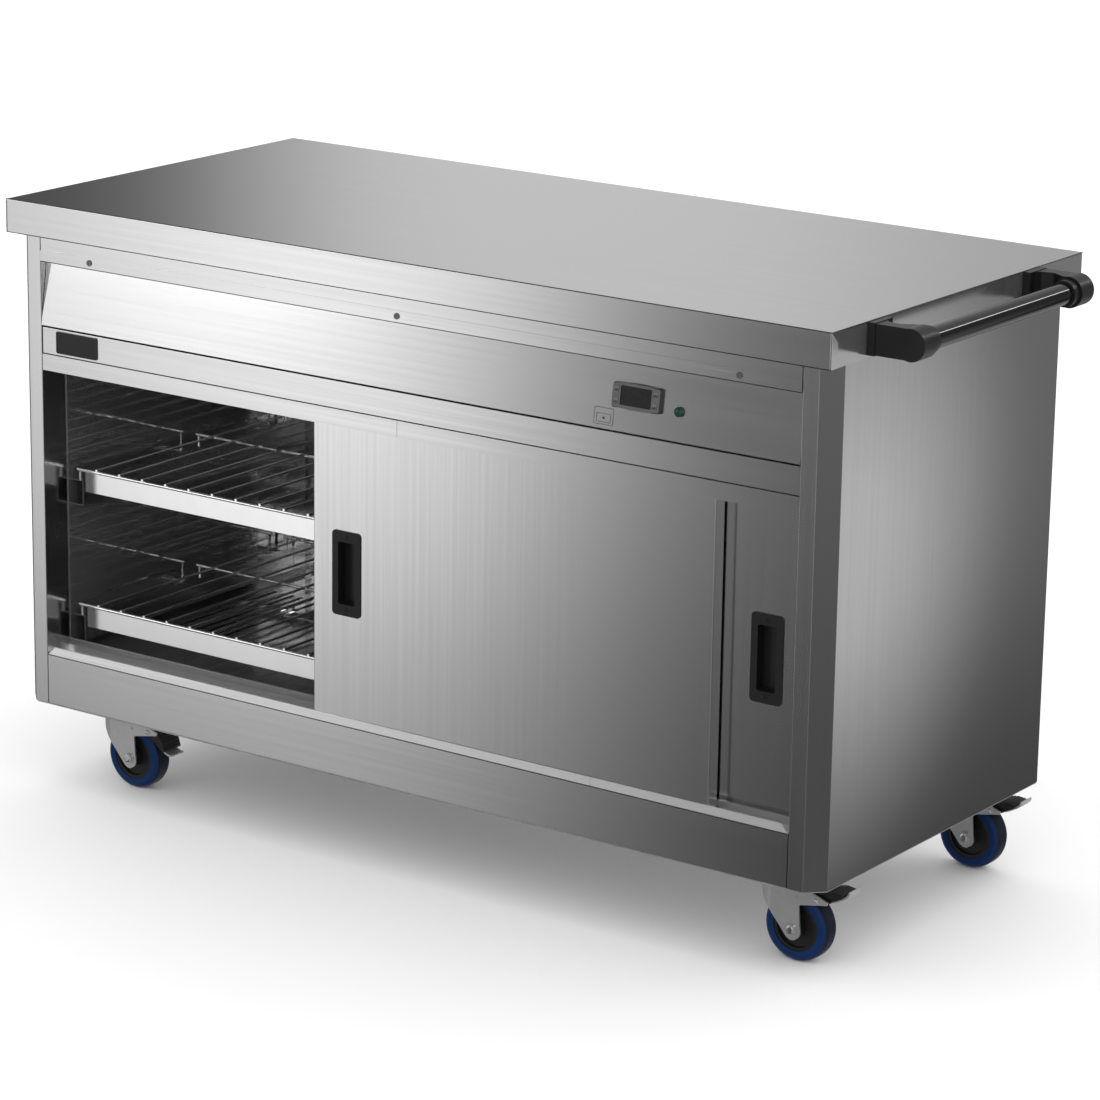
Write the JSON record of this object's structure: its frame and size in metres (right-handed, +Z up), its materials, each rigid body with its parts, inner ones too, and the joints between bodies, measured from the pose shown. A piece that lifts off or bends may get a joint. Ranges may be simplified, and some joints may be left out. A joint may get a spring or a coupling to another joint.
{
  "type": "food holding cabinet",
  "caption": "Mobile heated food holding cabinet in stainless steel: sliding doors, wire shelves, leaning control panel, end push handle and braked swivel castors.",
  "frame": {"origin": "on the floor under the middle of the whole outline, push handle included", "axes": "+Z up, +X along the cabinet towards the push handle, -Y out of the door side"},
  "size_m": [1.5, 0.665, 0.9],
  "materials": {
    "brushed_stainless": "brushed, satin",
    "plain_stainless_door": "brushed, satin",
    "polished_liner": "bright polished",
    "galvanised_sheet": "dull galvanised",
    "chromed_wire": "bright plated",
    "screw_steel": "plated",
    "black_badge": "dark plate, blank",
    "thermostat_case": "silver-grey face on a black body",
    "display_window": "dark tinted",
    "thermostat_keys": "dark keys",
    "green_lens": "dark green lens",
    "black_moulding": "fine textured black",
    "white_nylon": "natural nylon",
    "handle_tube": "gloss black coated tube",
    "motor_case": "grey motor can",
    "fan_wheel": "pressed blades",
    "element_sheath": "dull sheath",
    "gland_nylon": "black nylon",
    "zinc_castor": "zinc plated pressing",
    "black_wheel_centre": "black moulding",
    "blue_tyre": "dark blue elastic rubber",
    "brake_pedal": "black pad with a steel tip"
  },
  "bodies": {
    "cabinet": {"badge_plate": "black_badge", "base_panel": "galvanised_sheet", "cable_gland": "gland_nylon", "castor_bolts": "zinc_castor", "castor_plates": "zinc_castor", "control_panel": "brushed_stainless", "fan_motor": "motor_case", "fascia_panel": "brushed_stainless", "front_top_rail": "brushed_stainless", "heating_element": "element_sheath", "indicator_lamp": "green_lens", "kick_panel": "brushed_stainless", "liner_back": "brushed_stainless", "liner_floor": "polished_liner", "liner_left": "polished_liner", "liner_right": "polished_liner", "liner_top": "polished_liner", "panel_screws": "screw_steel", "push_handle_brackets": "black_moulding", "push_handle_tube": "handle_tube", "rear_panel": "brushed_stainless", "shelf_lower": "chromed_wire", "shelf_rails": "brushed_stainless", "shelf_upper": "chromed_wire", "side_panel_left": "brushed_stainless", "side_panel_right": "brushed_stainless", "sill_track": "brushed_stainless", "thermostat_housing": "thermostat_case", "thermostat_window": "display_window", "top_track": "brushed_stainless", "worktop": "brushed_stainless"},
    "door_left": {"door_left_skin": "plain_stainless_door", "door_left_inner_pan": "plain_stainless_door", "door_left_handle": "black_moulding", "door_left_glides": "white_nylon"},
    "door_right": {"door_right_skin": "plain_stainless_door", "door_right_inner_pan": "plain_stainless_door", "door_right_handle": "black_moulding", "door_right_glides": "white_nylon"},
    "button_1": {"thermostat_button_1": "thermostat_keys"},
    "button_2": {"thermostat_button_2": "thermostat_keys"},
    "button_3": {"thermostat_button_3": "thermostat_keys"},
    "button_4": {"thermostat_button_4": "thermostat_keys"},
    "fan": {"fan_impeller": "fan_wheel"},
    "castor_front_left": {"castor_front_left_fork": "zinc_castor"},
    "wheel_front_left": {"castor_front_left_hub": "black_wheel_centre", "castor_front_left_tyre": "blue_tyre"},
    "pedal_front_left": {"castor_front_left_pedal": "brake_pedal"},
    "castor_front_right": {"castor_front_right_fork": "zinc_castor"},
    "wheel_front_right": {"castor_front_right_hub": "black_wheel_centre", "castor_front_right_tyre": "blue_tyre"},
    "pedal_front_right": {"castor_front_right_pedal": "brake_pedal"},
    "castor_back_left": {"castor_back_left_fork": "zinc_castor"},
    "wheel_back_left": {"castor_back_left_hub": "black_wheel_centre", "castor_back_left_tyre": "blue_tyre"},
    "pedal_back_left": {"castor_back_left_pedal": "brake_pedal"},
    "castor_back_right": {"castor_back_right_fork": "zinc_castor"},
    "wheel_back_right": {"castor_back_right_hub": "black_wheel_centre", "castor_back_right_tyre": "blue_tyre"},
    "pedal_back_right": {"castor_back_right_pedal": "brake_pedal"}
  },
  "joints": [
    {"name": "left_door_slide", "type": "slide", "parent": "cabinet", "child": "door_left", "axis": [1, 0, 0], "range_m": [-0.506, 0.1298]},
    {"name": "right_door_slide", "type": "slide", "parent": "cabinet", "child": "door_right", "axis": [1, 0, 0], "range_m": [-0.6358, 0]},
    {"name": "button_1_press", "type": "slide", "parent": "cabinet", "child": "button_1", "axis": [0, 0.9901, -0.14], "range_m": [0, 0.0006], "stiffness_N_per_m": 400},
    {"name": "button_2_press", "type": "slide", "parent": "cabinet", "child": "button_2", "axis": [0, 0.9901, -0.14], "range_m": [0, 0.0006], "stiffness_N_per_m": 400},
    {"name": "button_3_press", "type": "slide", "parent": "cabinet", "child": "button_3", "axis": [0, 0.9901, -0.14], "range_m": [0, 0.0006], "stiffness_N_per_m": 400},
    {"name": "button_4_press", "type": "slide", "parent": "cabinet", "child": "button_4", "axis": [0, 0.9901, -0.14], "range_m": [0, 0.0006], "stiffness_N_per_m": 400},
    {"name": "fan_spin", "type": "hinge", "parent": "cabinet", "child": "fan", "pos_m": [-0.043, 0, 0.188], "axis": [0, 0, 1], "continuous": true},
    {"name": "front_left_swivel", "type": "hinge", "parent": "cabinet", "child": "castor_front_left", "pos_m": [-0.633, -0.225, 0.115], "axis": [0, 0, 1], "continuous": true},
    {"name": "front_left_wheel_spin", "type": "hinge", "parent": "castor_front_left", "child": "wheel_front_left", "pos_m": [-0.599, -0.225, 0.05], "axis": [0, 1, 0], "continuous": true},
    {"name": "front_left_brake", "type": "hinge", "parent": "castor_front_left", "child": "pedal_front_left", "pos_m": [-0.561, -0.225, 0.098], "axis": [0, 1, 0], "range_deg": [-65, 0]},
    {"name": "front_right_swivel", "type": "hinge", "parent": "cabinet", "child": "castor_front_right", "pos_m": [0.547, -0.225, 0.115], "axis": [0, 0, 1], "continuous": true},
    {"name": "front_right_wheel_spin", "type": "hinge", "parent": "castor_front_right", "child": "wheel_front_right", "pos_m": [0.581, -0.225, 0.05], "axis": [0, 1, 0], "continuous": true},
    {"name": "front_right_brake", "type": "hinge", "parent": "castor_front_right", "child": "pedal_front_right", "pos_m": [0.619, -0.225, 0.098], "axis": [0, 1, 0], "range_deg": [0, 65]},
    {"name": "back_left_swivel", "type": "hinge", "parent": "cabinet", "child": "castor_back_left", "pos_m": [-0.633, 0.243, 0.115], "axis": [0, 0, 1], "continuous": true},
    {"name": "back_left_wheel_spin", "type": "hinge", "parent": "castor_back_left", "child": "wheel_back_left", "pos_m": [-0.599, 0.243, 0.05], "axis": [0, 1, 0], "continuous": true},
    {"name": "back_left_brake", "type": "hinge", "parent": "castor_back_left", "child": "pedal_back_left", "pos_m": [-0.561, 0.243, 0.098], "axis": [0, 1, 0], "range_deg": [0, 65]},
    {"name": "back_right_swivel", "type": "hinge", "parent": "cabinet", "child": "castor_back_right", "pos_m": [0.547, 0.243, 0.115], "axis": [0, 0, 1], "continuous": true},
    {"name": "back_right_wheel_spin", "type": "hinge", "parent": "castor_back_right", "child": "wheel_back_right", "pos_m": [0.581, 0.243, 0.05], "axis": [0, 1, 0], "continuous": true},
    {"name": "back_right_brake", "type": "hinge", "parent": "castor_back_right", "child": "pedal_back_right", "pos_m": [0.619, 0.243, 0.098], "axis": [0, 1, 0], "range_deg": [0, 65]}
  ]
}
